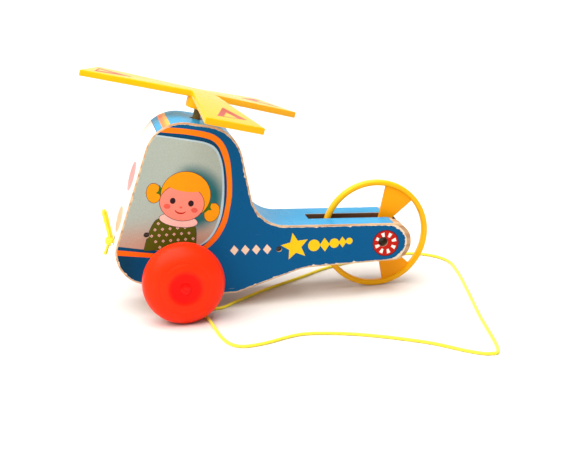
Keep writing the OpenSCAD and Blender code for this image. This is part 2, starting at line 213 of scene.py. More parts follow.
def makePrintGroup():
    # printed and varnished paper: fine mottling, rubbed flecks and faint scratches
    group, given, out = newGroup("printedPaper", [("Ink", colourKind, (0.5, 0.5, 0.5, 1)),
                                                  ("Aged", colourKind, (0.2, 0.2, 0.2, 1)),
                                                  ("Flecks", floatKind, 0.5)], surfaceOutputs)
    place = objectPlace(group)
    fine = noiseOn(group, place, 1500, 2)
    broad = noiseOn(group, place, 34, 4)
    rub = noiseOn(group, place, 210, 5, 0.7)
    scratch = noiseOn(group, place, 900, 2, 0.5, (0.05, 1, 1))
    ink = mixed(group, remapped(group, fine, 0.35, 0.65, 0.0, 0.16), given.outputs["Ink"],
                (0.02, 0.03, 0.04, 1))
    ink = mixed(group, remapped(group, broad, 0.35, 0.7, 0.0, 0.10), ink, given.outputs["Aged"])
    fleck = calculated(group, "MULTIPLY", remapped(group, rub, 0.755, 0.79), given.outputs["Flecks"])
    line = calculated(group, "MULTIPLY", remapped(group, scratch, 0.72, 0.8, 0.0, 0.5),
                      remapped(group, broad, 0.52, 0.62))
    worn = calculated(group, "MAXIMUM", fleck, calculated(group, "MULTIPLY", line, given.outputs["Flecks"]))
    rough = calculated(group, "ADD", remapped(group, broad, 0.3, 0.7, 0.24, 0.40),
                       calculated(group, "MULTIPLY", worn, 0.3))
    height = calculated(group, "SUBTRACT", calculated(group, "MULTIPLY", fine, 0.25),
                        calculated(group, "MULTIPLY", worn, 0.6))
    height = calculated(group, "ADD", height, broad)
    return putOut(group, out, mixed(group, worn, ink, (0.78, 0.74, 0.64, 1)), rough, height)


def makeWoodGroup():
    # lengthwise grain with darker growth lines, handling dirt, the glue lines between boards, and painted
    # shade in the tail slot and axle holes
    group, given, out = newGroup("bareWood", [("Light", colourKind, (0.78, 0.58, 0.38, 1)),
                                              ("Dark", colourKind, (0.45, 0.26, 0.13, 1)),
                                              ("Glue line", floatKind, 0.007),
                                              ("Slot front", floatKind, 0.0956)], surfaceOutputs)
    place = objectPlace(group)
    axes = axesOf(group, place)
    grain = noiseOn(group, place, 420, 6, 0.6, (0.06, 1, 1))
    pores = noiseOn(group, place, 1300, 3, 0.6, (0.05, 1, 1))
    rings = addNode(group, "ShaderNodeTexWave", {"Scale": 55, "Distortion": 3.5, "Detail": 3,
                                                 "Detail Scale": 0.8},
                    wave_type="BANDS", bands_direction="Z")
    mapping = addNode(group, "ShaderNodeMapping", {"Scale": (0.12, 1, 1), "Rotation": (0.5, 0, 0)})
    group.links.new(place, mapping.inputs["Vector"])
    group.links.new(mapping.outputs["Vector"], rings.inputs["Vector"])
    tone = calculated(group, "ADD", remapped(group, grain, 0.3, 0.7, 0.0, 0.55),
                      remapped(group, rings.outputs["Fac"], 0.45, 1.0, 0.0, 0.4))
    tone = calculated(group, "ADD", tone, remapped(group, pores, 0.6, 0.75, 0.0, 0.25))
    wood = mixed(group, tone, given.outputs["Light"], given.outputs["Dark"])
    dirt = noiseOn(group, place, 60, 4)
    wood = mixed(group, remapped(group, dirt, 0.52, 0.72, 0.0, 0.45), wood, (0.30, 0.19, 0.12, 1))
    # handling has browned the tail's end
    wood = mixed(group, remapped(group, axes["X"], 0.152, 0.166, 0.0, 0.5, smooth=True), wood,
                 (0.34, 0.17, 0.08, 1))
    across = calculated(group, "ABSOLUTE", axes["Y"])
    offLine = calculated(group, "ABSOLUTE", calculated(group, "SUBTRACT", across,
                                                       given.outputs["Glue line"]))
    wood = mixed(group, remapped(group, offLine, 0.00008, 0.00022, 0.55, 0.0), wood, (0.12, 0.07, 0.04, 1))
    # painted shade: the inside of the tail slot and the small holes that show the tail axle are darkened as
    # if in shadow
    inside = calculated(group, "LESS_THAN", across,
                        calculated(group, "ADD", given.outputs["Glue line"], 0.00004))
    behind = calculated(group, "GREATER_THAN", axes["X"],
                        calculated(group, "SUBTRACT", given.outputs["Slot front"], 0.00005))
    holeShade = calculated(group, "LESS_THAN", distanceFrom(group, axes, tailAxle.x, tailAxle.z), 0.0036)
    holeShade = calculated(group, "MULTIPLY", calculated(group, "GREATER_THAN", across, 0.018), holeShade)
    paintedShade = calculated(group, "MAXIMUM", calculated(group, "MULTIPLY", inside, behind), holeShade)
    paintedShade = calculated(group, "MULTIPLY", paintedShade, 0.86)
    height = calculated(group, "SUBTRACT", calculated(group, "MULTIPLY", grain, 0.8), pores)
    return putOut(group, out, mixed(group, paintedShade, wood, (0.055, 0.022, 0.012, 1)),
                  remapped(group, grain, 0.3, 0.7, 0.5, 0.72), height)


def makePlasticGroup():
    # moulded plastic: slow colour drift, faint flow marks and small scuffs
    group, given, out = newGroup("mouldedPlastic", [("Color", colourKind, (0.8, 0.1, 0.05, 1)),
                                                    ("Scuffed", colourKind, (0.9, 0.4, 0.3, 1)),
                                                    ("Gloss", floatKind, 0.28)], surfaceOutputs)
    place = objectPlace(group)
    broad = noiseOn(group, place, 26, 3)
    fine = noiseOn(group, place, 520, 3)
    scuff = noiseOn(group, place, 330, 6, 0.72, (1, 0.3, 1))
    colour = mixed(group, remapped(group, broad, 0.35, 0.65, 0.0, 0.12), given.outputs["Color"],
                   given.outputs["Scuffed"])
    worn = remapped(group, scuff, 0.66, 0.74, 0.0, 0.5)
    rough = calculated(group, "ADD", given.outputs["Gloss"], remapped(group, broad, 0.3, 0.7, 0.0, 0.10))
    rough = calculated(group, "ADD", rough, calculated(group, "MULTIPLY", worn, 0.35))
    height = calculated(group, "ADD", broad, calculated(group, "MULTIPLY", fine, 0.12))
    height = calculated(group, "SUBTRACT", height, calculated(group, "MULTIPLY", worn, 0.15))
    return putOut(group, out, mixed(group, worn, colour, given.outputs["Scuffed"]), rough, height)


def makeMetalGroup():
    # turned or drawn metal with a little tarnish
    group, given, out = newGroup("workedMetal", [("Color", colourKind, (0.5, 0.5, 0.5, 1)),
                                                 ("Tarnish", colourKind, (0.2, 0.16, 0.12, 1))],
                                 surfaceOutputs)
    place = objectPlace(group)
    spots = noiseOn(group, place, 480, 5, 0.65)
    lines = noiseOn(group, place, 1600, 2, 0.5, (1, 0.1, 1))
    mask = remapped(group, spots, 0.45, 0.7, 0.0, 0.8)
    rough = calculated(group, "ADD", remapped(group, lines, 0.3, 0.7, 0.22, 0.36),
                       calculated(group, "MULTIPLY", mask, 0.3))
    return putOut(group, out, mixed(group, mask, given.outputs["Color"], given.outputs["Tarnish"]), rough,
                  calculated(group, "ADD", lines, spots))


printGroup, woodGroup = makePrintGroup(), makeWoodGroup()
plasticGroup, metalGroup = makePlasticGroup(), makeMetalGroup()


def principled(name, **shaderValues):
    material = bpy.data.materials.new(name)
    material.use_nodes = True
    shader = material.node_tree.nodes["Principled BSDF"]
    for key, value in shaderValues.items():
        shader.inputs[key.replace("_", " ")].default_value = value
    return material, material.node_tree, shader


def addRelief(tree, shader, height, strength, depth):
    relief = addNode(tree, "ShaderNodeBump", {"Strength": strength, "Distance": depth})
    tree.links.new(height, relief.inputs["Height"])
    tree.links.new(relief.outputs["Normal"], shader.inputs["Normal"])


def newMaterial(name, group, values, bump, colour=None, **shaderValues):
    # a Principled material fed by one of the groups; colour may build a varying colour first
    material, tree, shader = principled(name, **shaderValues)
    surface = addNode(tree, "ShaderNodeGroup")
    surface.node_tree = group
    for key, value in values.items():
        surface.inputs[key].default_value = value
    if colour:
        socket, build = colour
        tree.links.new(build(tree), surface.inputs[socket])
    tree.links.new(surface.outputs["Color"], shader.inputs["Base Color"])
    tree.links.new(surface.outputs["Roughness"], shader.inputs["Roughness"])
    addRelief(tree, shader, surface.outputs["Height"], 0.6, bump)
    return material


# colours and materials

def rgb(red, green, blue):
    # screen values, 0 to 255, as the linear colour that Blender mixes
    def linear(value):
        value /= 255
        return value / 12.92 if value <= 0.04045 else ((value + 0.055) / 1.055) ** 2.4
    return (linear(red), linear(green), linear(blue), 1)


windowArt = {"glass": rgb(166, 176, 165), "blush": rgb(190, 138, 114), "teal": rgb(0, 94, 100),
             "haloCentre": (10.5, 82.5), "haloRadius": (16.0, 27.5)}


def windowColour(tree):
    # pale glass that turns pink low down, with a soft teal shadow behind the passenger's head
    axes = axesOf(tree, objectPlace(tree))
    low = remapped(tree, axes["Z"], 0.074, 0.050, 0.0, 0.85, smooth=True)
    glass = mixed(tree, low, windowArt["glass"], windowArt["blush"])
    distance = distanceFrom(tree, axes, *(value * mm for value in windowArt["haloCentre"]))
    near, far = (radius * mm for radius in windowArt["haloRadius"])
    halo = remapped(tree, distance, near, far, 1.0, 0.0, smooth=True)
    side = remapped(tree, axes["X"], -0.004, 0.010, smooth=True)
    return mixed(tree, calculated(tree, "MULTIPLY", halo, side), glass, windowArt["teal"])


def fade(axis, start, end, first, second):
    # a colour that changes from one place to another along an axis
    def build(tree):
        share = remapped(tree, axesOf(tree, objectPlace(tree))[axis], start, end, smooth=True)
        return mixed(tree, share, rgb(*first), rgb(*second))
    return build


def inkMaterial(name, colour, flecks, build=None):
    aged = tuple(0.72 * part + 0.01 for part in colour[:3]) + (1,)
    return newMaterial(name, printGroup, {"Ink": colour, "Aged": aged, "Flecks": flecks}, 0.00006,
                       ("Ink", build) if build else None, Specular_IOR_Level=0.05)


# screen colours and how strongly rubbed flecks show
inkColours = {
    "deepBlue": ((0, 84, 134), 0.8), "bandBlue": ((0, 64, 100), 0.5), "skyBlue": ((38, 148, 196), 0.8),
    "orange": ((250, 122, 6), 0.4), "rimWhite": ((176, 198, 206), 0.4), "window": ((166, 176, 165), 0.5),
    "crossBand": ((250, 180, 60), 0.5), "screenWhite": ((236, 234, 226), 0.4), "pink": ((222, 136, 130), 0.5),
    "paleOrange": ((232, 164, 112), 0.5), "cream": ((238, 202, 176), 0.4), "yellow": ((240, 196, 20), 0.4),
    "red": ((184, 26, 10), 0.4), "darkLine": ((46, 22, 26), 0.3), "hair": ((240, 150, 6), 0.3),
    "skin": ((242, 136, 116), 0.3), "cheek": ((226, 92, 76), 0.2), "collar": ((240, 188, 176), 0.3),
    "leafGreen": ((54, 104, 20), 0.3), "mossGreen": ((82, 84, 8), 0.3), "markRed": ((184, 66, 40), 0.5),
    "paperCore": ((226, 206, 176), 0.2),
}
inkFades = {
    "deepBlue": fade("X", -0.012, -0.040, (0, 84, 134), (0, 52, 80)),      # darker towards the nose
    "orange": fade("Z", 0.045, 0.085, (248, 96, 2), (244, 124, 8)),        # redder low down
    "crossBand": fade("X", -0.0052, -0.0022, (240, 124, 44), (230, 172, 48)),
    "window": windowColour,
}
inks = {name: inkMaterial(name, rgb(*colour), flecks, inkFades.get(name))
        for name, (colour, flecks) in inkColours.items()}

# outer is the wheel's own red; the deeper centre red is painted shade for the dish
wheelRedAndShade = {"outer": rgb(244, 44, 4), "centre": rgb(232, 2, 0), "shadeRadius": (9.0, 13.8)}


def wheelShadeColour(tree):
    # painted shade: the red deepens towards the middle of the wheel, where its dish lies in shade
    distance = distanceFrom(tree, axesOf(tree, objectPlace(tree)), frontAxle.x, frontAxle.z)
    near, far = (radius * mm for radius in wheelRedAndShade["shadeRadius"])
    return mixed(tree, remapped(tree, distance, near, far, 1.0, 0.0, smooth=True),
                 wheelRedAndShade["outer"], wheelRedAndShade["centre"])


def plastic(name, colour, scuffed, gloss, build=None, bump=0.00012, **shaderValues):
    return newMaterial(name, plasticGroup, {"Color": colour, "Scuffed": scuffed, "Gloss": gloss}, bump,
                       ("Color", build) if build else None, **shaderValues)


def metal(name, colour, tarnish, metallic=1.0, bump=0.00003):
    return newMaterial(name, metalGroup, {"Color": colour, "Tarnish": tarnish}, bump, Metallic=metallic)


finishes = {
    "wood": newMaterial("boardWood", woodGroup, {"Light": rgb(226, 190, 148), "Dark": rgb(160, 104, 66)},
                        0.00025, Specular_IOR_Level=0.2),
    "wheelRed": plastic("wheelRed", wheelRedAndShade["outer"], rgb(246, 62, 22), 0.30, wheelShadeColour,
                        Specular_IOR_Level=0.10, Subsurface_Weight=0.08,
                        Subsurface_Radius=(0.004, 0.0005, 0.0002)),
    "capRed": plastic("capRed", rgb(236, 10, 2), rgb(240, 40, 20), 0.28, Specular_IOR_Level=0.15),
    "rotorYellow": plastic("rotorYellow", rgb(250, 172, 0), rgb(250, 188, 20), 0.24,
                           Specular_IOR_Level=0.14),
    # painted light: the tail ring and paddles are one plastic; the ring's lighter yellow is a painted
    # highlight and the paddles' deeper orange is painted shade
    "ringYellowHighlit": plastic("ringYellowHighlit", rgb(244, 176, 0), rgb(248, 194, 30), 0.28, Specular_IOR_Level=0.2),
    "paddleYellowShaded": plastic("paddleYellowShaded", rgb(248, 158, 0), rgb(248, 170, 20), 0.30,
                            Specular_IOR_Level=0.12),
    # painted shade: the rotor shaft is the rotor's yellow plastic, coloured dark olive as it looks in shade
    "shaftShadedYellow": plastic("shaftShadedYellow", rgb(112, 86, 20), rgb(160, 130, 60), 0.45),
    "discPlastic": plastic("discPlastic", rgb(205, 200, 186), rgb(160, 150, 130), 0.5),
    "rubber": plastic("driveRubber", rgb(34, 33, 32), rgb(70, 66, 62), 0.65),
    "steel": metal("plainSteel", rgb(196, 196, 198), rgb(120, 112, 104)),
    # dark steel for the pins and nail; on the tail axle it is also painted shade for the end in its recess
    "darkSteelAndShade": metal("darkSteelAndShade", rgb(66, 60, 56), rgb(30, 24, 20), 0.85, 0.00004),
    "brass": metal("bushBrass", rgb(196, 154, 84), rgb(110, 76, 34)),
}


def makeCordMaterial():
    # painted shade darkens the plies in their grooves, and fine fibres run along them with painted highlights
    material, tree, shader = principled("cordYellow", Sheen_Weight=0.25, Subsurface_Weight=0.15,
                                        Subsurface_Radius=(0.001, 0.0009, 0.0002))
    groove = addNode(tree, "ShaderNodeAttribute", attribute_name="ply").outputs["Fac"]
    uv = addNode(tree, "ShaderNodeUVMap", uv_map="rope").outputs["UV"]
    fibresAndSheen = noiseOn(tree, uv, 1.0, 4, 0.65, (900, 60, 1))
    slow = noiseOn(tree, objectPlace(tree), 45, 3)
    body = mixed(tree, groove, rgb(220, 186, 0), rgb(252, 238, 14))
    body = mixed(tree, remapped(tree, slow, 0.4, 0.65, 0.0, 0.25), body, rgb(244, 226, 40))
    body = mixed(tree, remapped(tree, fibresAndSheen, 0.35, 0.7, 0.0, 0.25), body, rgb(255, 250, 80))
    tree.links.new(body, shader.inputs["Base Color"])
    tree.links.new(remapped(tree, fibresAndSheen, 0.3, 0.7, 0.42, 0.62), shader.inputs["Roughness"])
    addRelief(tree, shader, fibresAndSheen, 0.5, 0.00008)
    return material


finishes["cord"] = makeCordMaterial()
print("materials ready:", len(bpy.data.materials))


# helpers for new pieces

def finishPiece(name, shape, materials, body, stands=(), sharpAngle=32):
    mesh = bpy.data.meshes.new(name)
    shape.to_mesh(mesh)
    shape.free()
    for material in materials:
        mesh.materials.append(material)
    mesh.shade_smooth()
    mesh.set_sharp_from_angle(angle=math.radians(sharpAngle))
    piece = addObject(name, mesh)
    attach(piece, body)
    if stands:
        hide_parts(*stands)
    print("made", name, "with", len(mesh.polygons), "faces")
    return piece


def roundedLoop(corners, step=9.0):
    # 2-D corners (u, v, radius) as a closed line with its corners rounded
    points = []
    for i, (u, v, radius) in enumerate(corners):
        here = Vector((u, v))
        before = Vector(corners[i - 1][:2]) - here
        after = Vector(corners[(i + 1) % len(corners)][:2]) - here
        if radius <= 0:
            points.append(here)
            continue
        before.normalize()
        after.normalize()
        half = before.angle(after) / 2
        middle = here + (before + after).normalized() * radius / math.sin(half)
        start = here + before * radius / math.tan(half) - middle
        turn = math.pi - 2 * half
        if before.x * after.y - before.y * after.x > 0:
            turn = -turn
        count = max(1, math.ceil(math.degrees(abs(turn)) / step))
        for k in range(count + 1):
            angle = turn * k / count
            points.append(middle + Matrix.Rotation(angle, 2) @ start)
    return points


def smoothLine(points, steps=5):
    # a smooth open line through 2-D or 3-D points
    given = [Vector(p) for p in points]
    line = []
    for i in range(len(given) - 1):
        a, b, c, d = given[max(i - 1, 0)], given[i], given[i + 1], given[min(i + 2, len(given) - 1)]
        for k in range(steps):
            t = k / steps
            line.append(0.5 * (2 * b + (c - a) * t + (2 * a - 5 * b + 4 * c - d) * t * t
                               + (3 * b - a - 3 * c + d) * t ** 3))
    line.append(given[-1])
    return line


def ellipse(u, v, width, height, tilt=0.0, count=40, start=0.0, end=360.0):
    turn = Matrix.Rotation(math.radians(tilt), 2)
    angles = [math.radians(start + (end - start) * k / count) for k in range(count + (end - start < 360))]
    return [Vector((u, v)) + turn @ Vector((width * math.cos(a), height * math.sin(a))) for a in angles]


def counterClockwise(loop):
    area = sum(a[0] * b[1] - b[0] * a[1] for a, b in zip(loop, loop[1:] + loop[:1]))
    return loop if area > 0 else loop[::-1]


def spun(profile, steps, matrix):
    # profile is a closed line of (radius, height) in millimetres, turned about Z
    shape = bmesh.new()
    verts = [shape.verts.new((r * mm, 0, h * mm)) for r, h in profile]
    edges = [shape.edges.new((verts[i - 1], verts[i])) for i in range(len(verts))]
    bmesh.ops.spin(shape, geom=verts + edges, cent=(0, 0, 0), axis=(0, 0, 1), angle=2 * math.pi,
                   steps=steps, use_merge=True)
    bmesh.ops.remove_doubles(shape, verts=shape.verts, dist=1e-6)
    bmesh.ops.recalc_face_normals(shape, faces=shape.faces)
    bmesh.ops.transform(shape, matrix=matrix, verts=shape.verts)
    return shape


def joined(shapes):
    # several bmesh shapes as one
    whole = bmesh.new()
    for shape in shapes:
        part = bpy.data.meshes.new("part")
        shape.to_mesh(part)
        shape.free()
        whole.from_mesh(part)
        bpy.data.meshes.remove(part)
    return whole


def roundEdges(shape, edges, radius, segments):
    bmesh.ops.bevel(shape, geom=edges, offset=radius * mm, segments=segments, profile=0.5, affect="EDGES",
                    material=-1, clamp_overlap=True)


def thickened(shape, height, radius, segments, sharpAngle):
    # the flat faces of a shape grown along Z into a plate with rounded edges
    grown = bmesh.ops.extrude_face_region(shape, geom=list(shape.faces))
    bmesh.ops.translate(shape, vec=(0, 0, height * mm),
                        verts=[g for g in grown["geom"] if isinstance(g, bmesh.types.BMVert)])
    bmesh.ops.recalc_face_normals(shape, faces=shape.faces)
    roundEdges(shape, [e for e in shape.edges if e.calc_face_angle(0) > sharpAngle], radius, segments)
    return shape


def slab(loop, thickness, radius):
    # a plate centred on Z = 0 from a 2-D outline in millimetres
    shape = bmesh.new()
    shape.faces.new([shape.verts.new((p[0] * mm, p[1] * mm, -thickness / 2 * mm))
                     for p in counterClockwise(list(loop))])
    return thickened(shape, thickness, radius, 3, 0.6)


def copyOf(node):
    # a node's mesh at rest, merged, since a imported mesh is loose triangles
    shape = bmesh.new()
    shape.from_mesh(frame["nodes"][node].data)
    bmesh.ops.remove_doubles(shape, verts=shape.verts, dist=1e-6)
    return shape


# pull cord

cordShape = {"diameter": 0.002, "sides": 15, "plies": 3, "pitch": 0.0052, "relief": 0.10,
             "fluff": 1.10, "step": 0.0007, "floor": 0.00116}
cordRoute = [
    (-0.0444, 0.00115, 0.0506), (-0.0200, 0.00115, 0.0207), (-0.0150, 0.0005, 0.0135),
    (-0.0090, -0.0040, 0.0055), (-0.0020, -0.0110, 0.00105), (0.0100, -0.0200, 0.00105),
    (0.0260, -0.0250, 0.00105), (0.0390, -0.0145, 0.00105), (0.0530, -0.0025, 0.00105),
    (0.0660, 0.0080, 0.00105), (0.0970, 0.0295, 0.00105), (0.1190, 0.0455, 0.00105),
    (0.1420, 0.0555, 0.00105),
    (0.1670, 0.0590, 0.00105), (0.1900, 0.0645, 0.00105), (0.2060, 0.0550, 0.00105),
    (0.2150, 0.0360, 0.00105), (0.2130, 0.0050, 0.00105), (0.2050, -0.0440, 0.00105),
    (0.1970, -0.0900, 0.00105), (0.1880, -0.1490, 0.00105), (0.1800, -0.1570, 0.00105),
    (0.1680, -0.1490, 0.00105), (0.1480, -0.1280, 0.00105), (0.1160, -0.1060, 0.00105),
    (0.0910, -0.0950, 0.00105), (0.0700, -0.0920, 0.00105), (0.0440, -0.1020, 0.00105),
    (0.0280, -0.1020, 0.00105), (0.0200, -0.0850, 0.00105), (0.0155, -0.0440, 0.00105),
    (0.0090, -0.0270, 0.00105), (-0.0020, -0.0140, 0.00105), (-0.0100, -0.0065, 0.0055),
    (-0.0155, -0.0030, 0.0130), (-0.0200, -0.00115, 0.0207), (-0.0444, -0.00115, 0.0506)]
bowRoute = [(-0.0464, -0.0008, 0.0515), (-0.0478, -0.00085, 0.0598), (-0.0490, -0.0009, 0.0665),
            (-0.0497, -0.0008, 0.0709), (-0.0492, 0, 0.0728), (-0.0481, 0.0008, 0.0711),
            (-0.0472, 0.0009, 0.0669), (-0.0462, 0.00085, 0.0600), (-0.0448, 0.0008, 0.0517)]
endRoute = [(-0.0474, 0, 0.0489), (-0.0492, 0, 0.0440), (-0.0508, 0, 0.0402)]


def evenly(line, step):
    # the same line with its points a fixed distance apart
    lengths = [0.0]
    for a, b in zip(line, line[1:]):
        lengths.append(lengths[-1] + (b - a).length)
    count = max(2, round(lengths[-1] / step))
    points, i = [], 0
    for k in range(count + 1):
        target = lengths[-1] * k / count
        while i < len(line) - 2 and lengths[i + 1] < target:
            i += 1
        share = (target - lengths[i]) / max(lengths[i + 1] - lengths[i], 1e-9)
        points.append(line[i].lerp(line[i + 1], min(share, 1.0)))
    return points, lengths[-1]


def ropeShape(line, radius, swell=None):
    # a twisted rope round a line of points: three plies that wind along it
    points, length = evenly(line, cordShape["step"])
    sides, plies = cordShape["sides"], cordShape["plies"]
    shape = bmesh.new()
    uvLayer = shape.loops.layers.uv.new("rope")
    plyLayer = shape.verts.layers.float.new("ply")
    rings, beside = [], None
    for i, point in enumerate(points):
        forward = (points[min(i + 1, len(points) - 1)] - points[max(i - 1, 0)]).normalized()
        if beside is None:
            beside = forward.orthogonal().normalized()
        beside = (beside - forward * beside.dot(forward)).normalized()
        other = forward.cross(beside)
        travelled = length * i / (len(points) - 1)
        grow = swell(travelled, length) if swell else 1.0
        ring = []
        for k in range(sides):
            angle = 2 * math.pi * k / sides
            crest = abs(math.cos(plies * (angle - 2 * math.pi * travelled / cordShape["pitch"]) / 2))
            reach = radius * grow * (1 - cordShape["relief"] * (1 - crest))
            vert = shape.verts.new(point + reach * (math.cos(angle) * beside + math.sin(angle) * other))
            vert[plyLayer] = crest
            ring.append(vert)
        rings.append((ring, travelled))
    for (ring, here), (following, there) in zip(rings, rings[1:]):
        for k in range(sides):
            face = shape.faces.new((ring[k], ring[(k + 1) % sides], following[(k + 1) % sides], following[k]))
            for loop, uv in zip(face.loops, ((here, k), (here, k + 1), (there, k + 1), (there, k))):
                loop[uvLayer].uv = (uv[0], uv[1] / sides)
    shape.faces.new(rings[0][0][::-1])
    shape.faces.new(rings[-1][0])
    bmesh.ops.recalc_face_normals(shape, faces=shape.faces)
    return shape, points, length


def roundEnds(travelled, length, reach=0.0010):
    # a rope that closes to a round end at both ends
    edge = min(travelled, length - travelled) / reach
    return 1.0 if edge >= 1 else math.sqrt(max(0.02, 1 - (1 - edge) ** 2))


def blobEnd(travelled, length):
    # the far end is melted into a small bead
    left = length - travelled
    bead = 1 + 0.42 * math.exp(-((left - 0.0013) / 0.0010) ** 2)
    return bead * (1.0 if left >= 0.0012 else math.sqrt(max(0.02, 1 - (1 - left / 0.0012) ** 2)))


def makeCord():
    line = [Vector((p.x, p.y, max(p.z, cordShape["floor"]))) for p in smoothLine(cordRoute, 14)]
    radius = cordShape["diameter"] / 2 * cordShape["fluff"]
    shape, points, length = ropeShape(line, radius)
    cord = finishPiece("pullCord", shape, [finishes["cord"]], "body", ["pull_cord"])
    shape = ropeShape(smoothLine(bowRoute, 12), radius, roundEnds)[0]
    bow = finishPiece("cordBow", shape, [finishes["cord"]], "body", ["cord_bow"])
    shape = ropeShape(smoothLine(endRoute, 12), radius, blobEnd)[0]
    tip = finishPiece("cordEnd", shape, [finishes["cord"]], "body", ["cord_end"])
    knot = makeKnot(radius)
    print("cord length", round(length, 4))


# the knot's turns and the strand that crosses them: how far each reaches ahead and across, and its height
knotShape = {"turns": 2.0, "ahead": 0.0017, "across": 0.0019, "height": 0.0030,
             "crossTurn": 1.7, "crossPlace": -0.0012, "crossAhead": 0.0014, "crossAcross": 0.0021,
             "crossHeight": 0.0026}


def makeKnot(radius):
    # two turns of cord pulled tight round the strands, with a crossing turn over them
    low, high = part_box("cord_knot")
    middle, k = (low + high) / 2, knotShape
    turns, crossing = [], []
    for step in range(97):
        share = step / 96
        angle = 2 * math.pi * (k["turns"] * share + 0.1)
        turns.append(middle + Vector((k["ahead"] * math.cos(angle), k["across"] * math.sin(angle),
                                      (share - 0.5) * k["height"])))
    for step in range(61):
        angle = math.pi * k["crossTurn"] * (step / 60 - 0.5)
        crossing.append(middle + Vector((k["crossPlace"] - k["crossAhead"] * math.cos(angle),
                                         k["crossAcross"] * math.sin(angle),
                                         k["crossHeight"] * math.sin(angle * 0.55))))
    strands = [ropeShape(turns, radius * 0.95, roundEnds)[0], ropeShape(crossing, radius * 0.9, roundEnds)[0]]
    return finishPiece("cordKnot", joined(strands), [finishes["cord"]], "body", ["cord_knot"])


makeCord()


# printed paper on the body

def cutSheet(outline, shapes, holes, folds, place, flip):
    # one sheet cut into ink areas: each triangle takes the last shape that covers it
    loops = [counterClockwise([Vector(p[:2]) for p in loop])
             for loop in [outline] + [s[1] for s in shapes] + holes]
    points, faces = [], []
    for loop in loops:
        faces.append(list(range(len(points), len(points) + len(loop))))
        points += loop
    edges = []
    for a, b in folds:
        edges.append((len(points), len(points) + 1))
        points += [Vector(a), Vector(b)]
    verts, _, triangles, _, _, origins = delaunay_2d_cdt(points, edges, faces, 0, 1e-4)
    holeIds = set(range(1 + len(shapes), len(loops)))
    sheet = bmesh.new()
    made = {}
    inkNames = []
    for corners, covering in zip(triangles, origins):
        covering = set(covering)
        if 0 not in covering or covering & holeIds:
            continue
        top = max(covering)
        ink = shapes[top - 1][0] if top else "base"
        if ink not in inkNames:
            inkNames.append(ink)
        for c in corners:
            if c not in made:
                made[c] = sheet.verts.new(place(*verts[c]))
        order = corners[::-1] if flip else corners
        try:
            sheet.faces.new([made[c] for c in order]).material_index = inkNames.index(ink)
        except ValueError:
            continue
    return sheet, inkNames


def makeSheetPiece(name, sheet, inkNames, baseInk, thickness, body, stands):
    # gives the sheet its thickness, with bare paper round its edges
    materials = [inks[baseInk if ink == "base" else ink] for ink in inkNames] + [inks["paperCore"]]
    printed = set(sheet.faces)
    bmesh.ops.dissolve_degenerate(sheet, dist=1e-7, edges=sheet.edges)
    bmesh.ops.solidify(sheet, geom=list(sheet.faces), thickness=thickness)
    for face in sheet.faces:
        if face not in printed:
            face.material_index = len(materials) - 1
    return finishPiece(name, sheet, materials, body, stands, 20)


def flatLoops(node, side):
    # the closed lines round a node's outer flat face, as (x, z) in millimetres, longest first
    shape = copyOf(node)
    reach = max(v.co.y * side for v in shape.verts)
    flat = [f for f in shape.faces if all(v.co.y * side > reach - 1e-5 for v in f.verts)]
    inside = set(flat)
    following = {}
    for face in flat:
        for loop in face.loops:
            if not any(other in inside for other in loop.edge.link_faces if other is not face):
                following[loop.vert] = loop.link_loop_next.vert
    loops = []
    while following:
        start = here = next(iter(following))
        line = []
        while here in following:
            line.append(Vector((here.co.x / mm, here.co.z / mm)))
            here = following.pop(here)
        loops.append(line)
    shape.free()
    loops.sort(key=lambda line: -sum((a - b).length for a, b in zip(line, line[1:] + line[:1])))
    return loops, reach


edgeWear = {"seed": 7, "spacing": 1.6, "inset": 0.0, "fray": 0.18, "chipChance": 0.04, "chipDepth": 0.7,
            # paper is worn further back round the tail's end: from this X on, by this much
            "tailFrom": 156.0, "tailDepth": 2.4}
inkWear = {"seed": 21, "spacing": 1.3, "inset": 0.15, "fray": 0.35, "chipChance": 0.045, "chipDepth": 1.0,
           "tailFrom": 152.0, "tailDepth": 3.4}


def wornLoop(loop, wear, seed):
    # a paper outline with a frayed edge and a few small chips, always inside the given line
    draw = random.Random(seed)
    loop = counterClockwise(loop)
    points = []
    chip = 0.0
    for a, b in zip(loop, loop[1:] + loop[:1]):
        along = b - a
        inward = Vector((-along.y, along.x)).normalized()
        count = max(1, round(along.length / wear["spacing"]))
        for k in range(count):
            if draw.random() < wear["chipChance"]:
                chip = wear["chipDepth"] * draw.uniform(0.4, 1.0)
            spot = a + along * k / count
            tail = wear["tailDepth"] * min(1.0, max(0.0, (spot.x - wear["tailFrom"]) / 9))
            points.append(spot + inward * (wear["inset"] + wear["fray"] * draw.random() + chip
                                           + tail * draw.uniform(0.8, 1.0)))
            chip = max(0.0, chip * 0.45 - 0.08)
    return points


